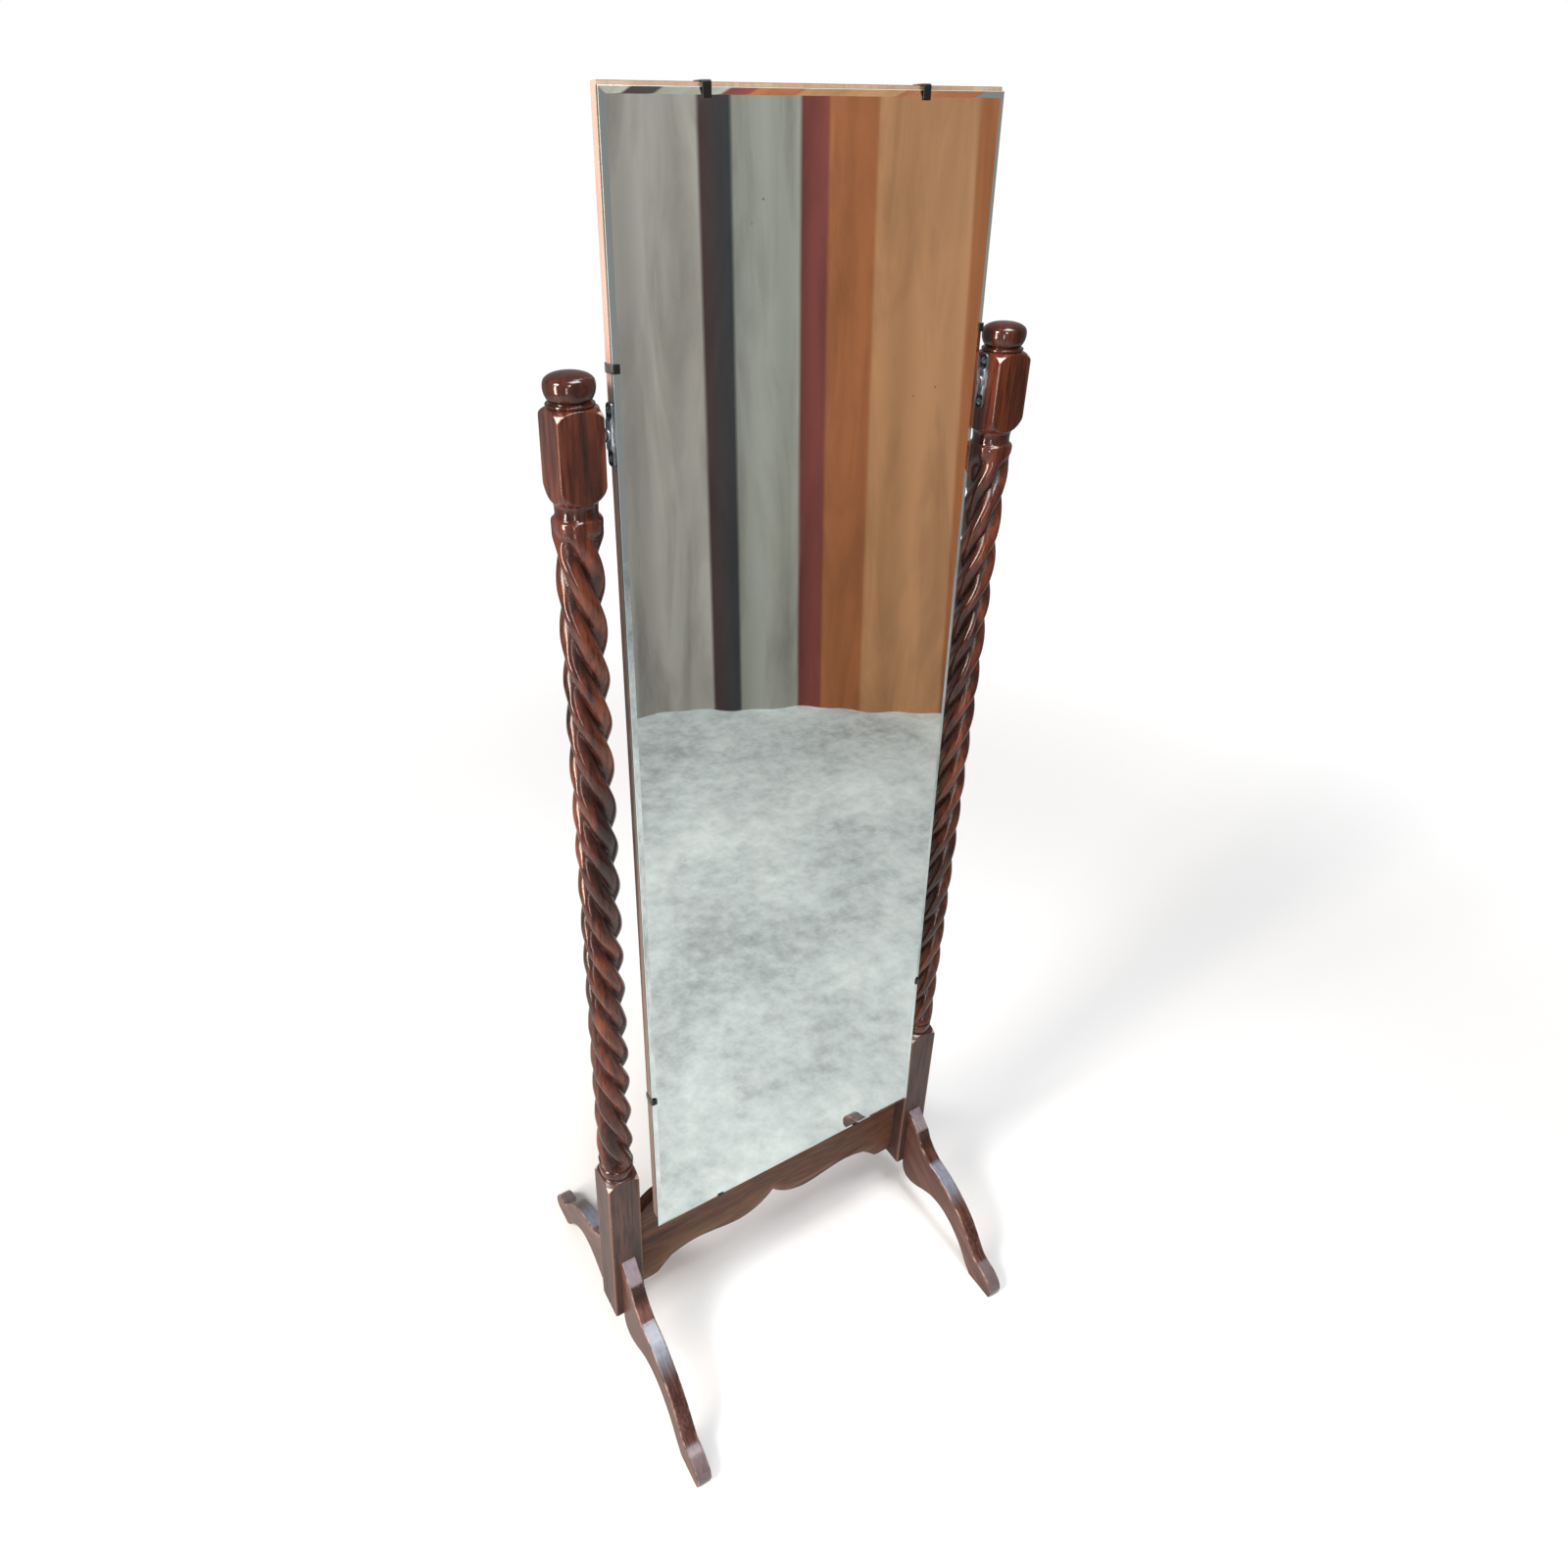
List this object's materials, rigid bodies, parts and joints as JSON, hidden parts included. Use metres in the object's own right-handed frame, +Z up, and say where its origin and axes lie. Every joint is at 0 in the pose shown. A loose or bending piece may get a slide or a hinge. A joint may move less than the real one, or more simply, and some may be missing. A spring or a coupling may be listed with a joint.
{
  "type": "cheval floor mirror",
  "caption": "Tall frameless bevelled mirror on a board, swinging between two barley-twist uprights on shaped legs joined by a shaped rail.",
  "frame": {"origin": "on the floor, midway between the uprights and midway between the front and rear toes", "axes": "+X to the right along the pivot line as the user faces the glass, +Y away from the user to the back, +Z up; the glass faces -Y"},
  "size_m": [0.5444, 0.4686, 1.5905],
  "materials": {
    "turned_wood": "polished red-brown stain",
    "leg_wood": "worn satin polish, dusty tops",
    "rail_wood": "worn satin polish over open grain",
    "dowel_wood": "bare",
    "board_ply": "bare plywood",
    "silvered_glass": "silvered, ground bevel",
    "clip_metal": "darkened",
    "fitting_steel": "dull grey-blue",
    "washer_fibre": "pressed fibre"
  },
  "bodies": {
    "stand": {"left_upright": "turned_wood", "right_upright": "turned_wood", "front_left_leg": "leg_wood", "rear_left_leg": "leg_wood", "front_right_leg": "leg_wood", "rear_right_leg": "leg_wood", "rail": "rail_wood", "front_left_leg_dowel_low": "dowel_wood", "front_left_leg_dowel_high": "dowel_wood", "rear_left_leg_dowel_low": "dowel_wood", "rear_left_leg_dowel_high": "dowel_wood", "front_right_leg_dowel_low": "dowel_wood", "front_right_leg_dowel_high": "dowel_wood", "rear_right_leg_dowel_low": "dowel_wood", "rear_right_leg_dowel_high": "dowel_wood", "rail_dowel_left_low": "dowel_wood", "rail_dowel_left_high": "dowel_wood", "rail_dowel_right_low": "dowel_wood", "rail_dowel_right_high": "dowel_wood", "left_upright_plate": "fitting_steel", "left_upright_screw_high": "fitting_steel", "left_upright_screw_low": "fitting_steel", "right_upright_plate": "fitting_steel", "right_upright_screw_high": "fitting_steel", "right_upright_screw_low": "fitting_steel"},
    "mirror_panel": {"backboard": "board_ply", "mirror_glass": "silvered_glass", "clip_top_left": "clip_metal", "clip_top_left_screw": "clip_metal", "clip_top_right": "clip_metal", "clip_top_right_screw": "clip_metal", "clip_bottom_left": "clip_metal", "clip_bottom_left_screw": "clip_metal", "clip_bottom_right": "clip_metal", "clip_bottom_right_screw": "clip_metal", "clip_left_high": "clip_metal", "clip_left_high_screw": "clip_metal", "clip_left_low": "clip_metal", "clip_left_low_screw": "clip_metal", "clip_right_high": "clip_metal", "clip_right_high_screw": "clip_metal", "clip_right_low": "clip_metal", "clip_right_low_screw": "clip_metal", "left_board_plate": "fitting_steel", "left_board_screw_high": "fitting_steel", "left_board_screw_low": "fitting_steel", "left_pivot_stud": "fitting_steel", "left_friction_washer": "washer_fibre", "right_board_plate": "fitting_steel", "right_board_screw_high": "fitting_steel", "right_board_screw_low": "fitting_steel", "right_pivot_stud": "fitting_steel", "right_friction_washer": "washer_fibre"}
  },
  "joints": [
    {"name": "mirror_tilt", "type": "hinge", "parent": "stand", "child": "mirror_panel", "pos_m": [0, 0, 1.3115], "axis": [-1, 0, 0], "range_deg": [-1.2, 28]}
  ]
}
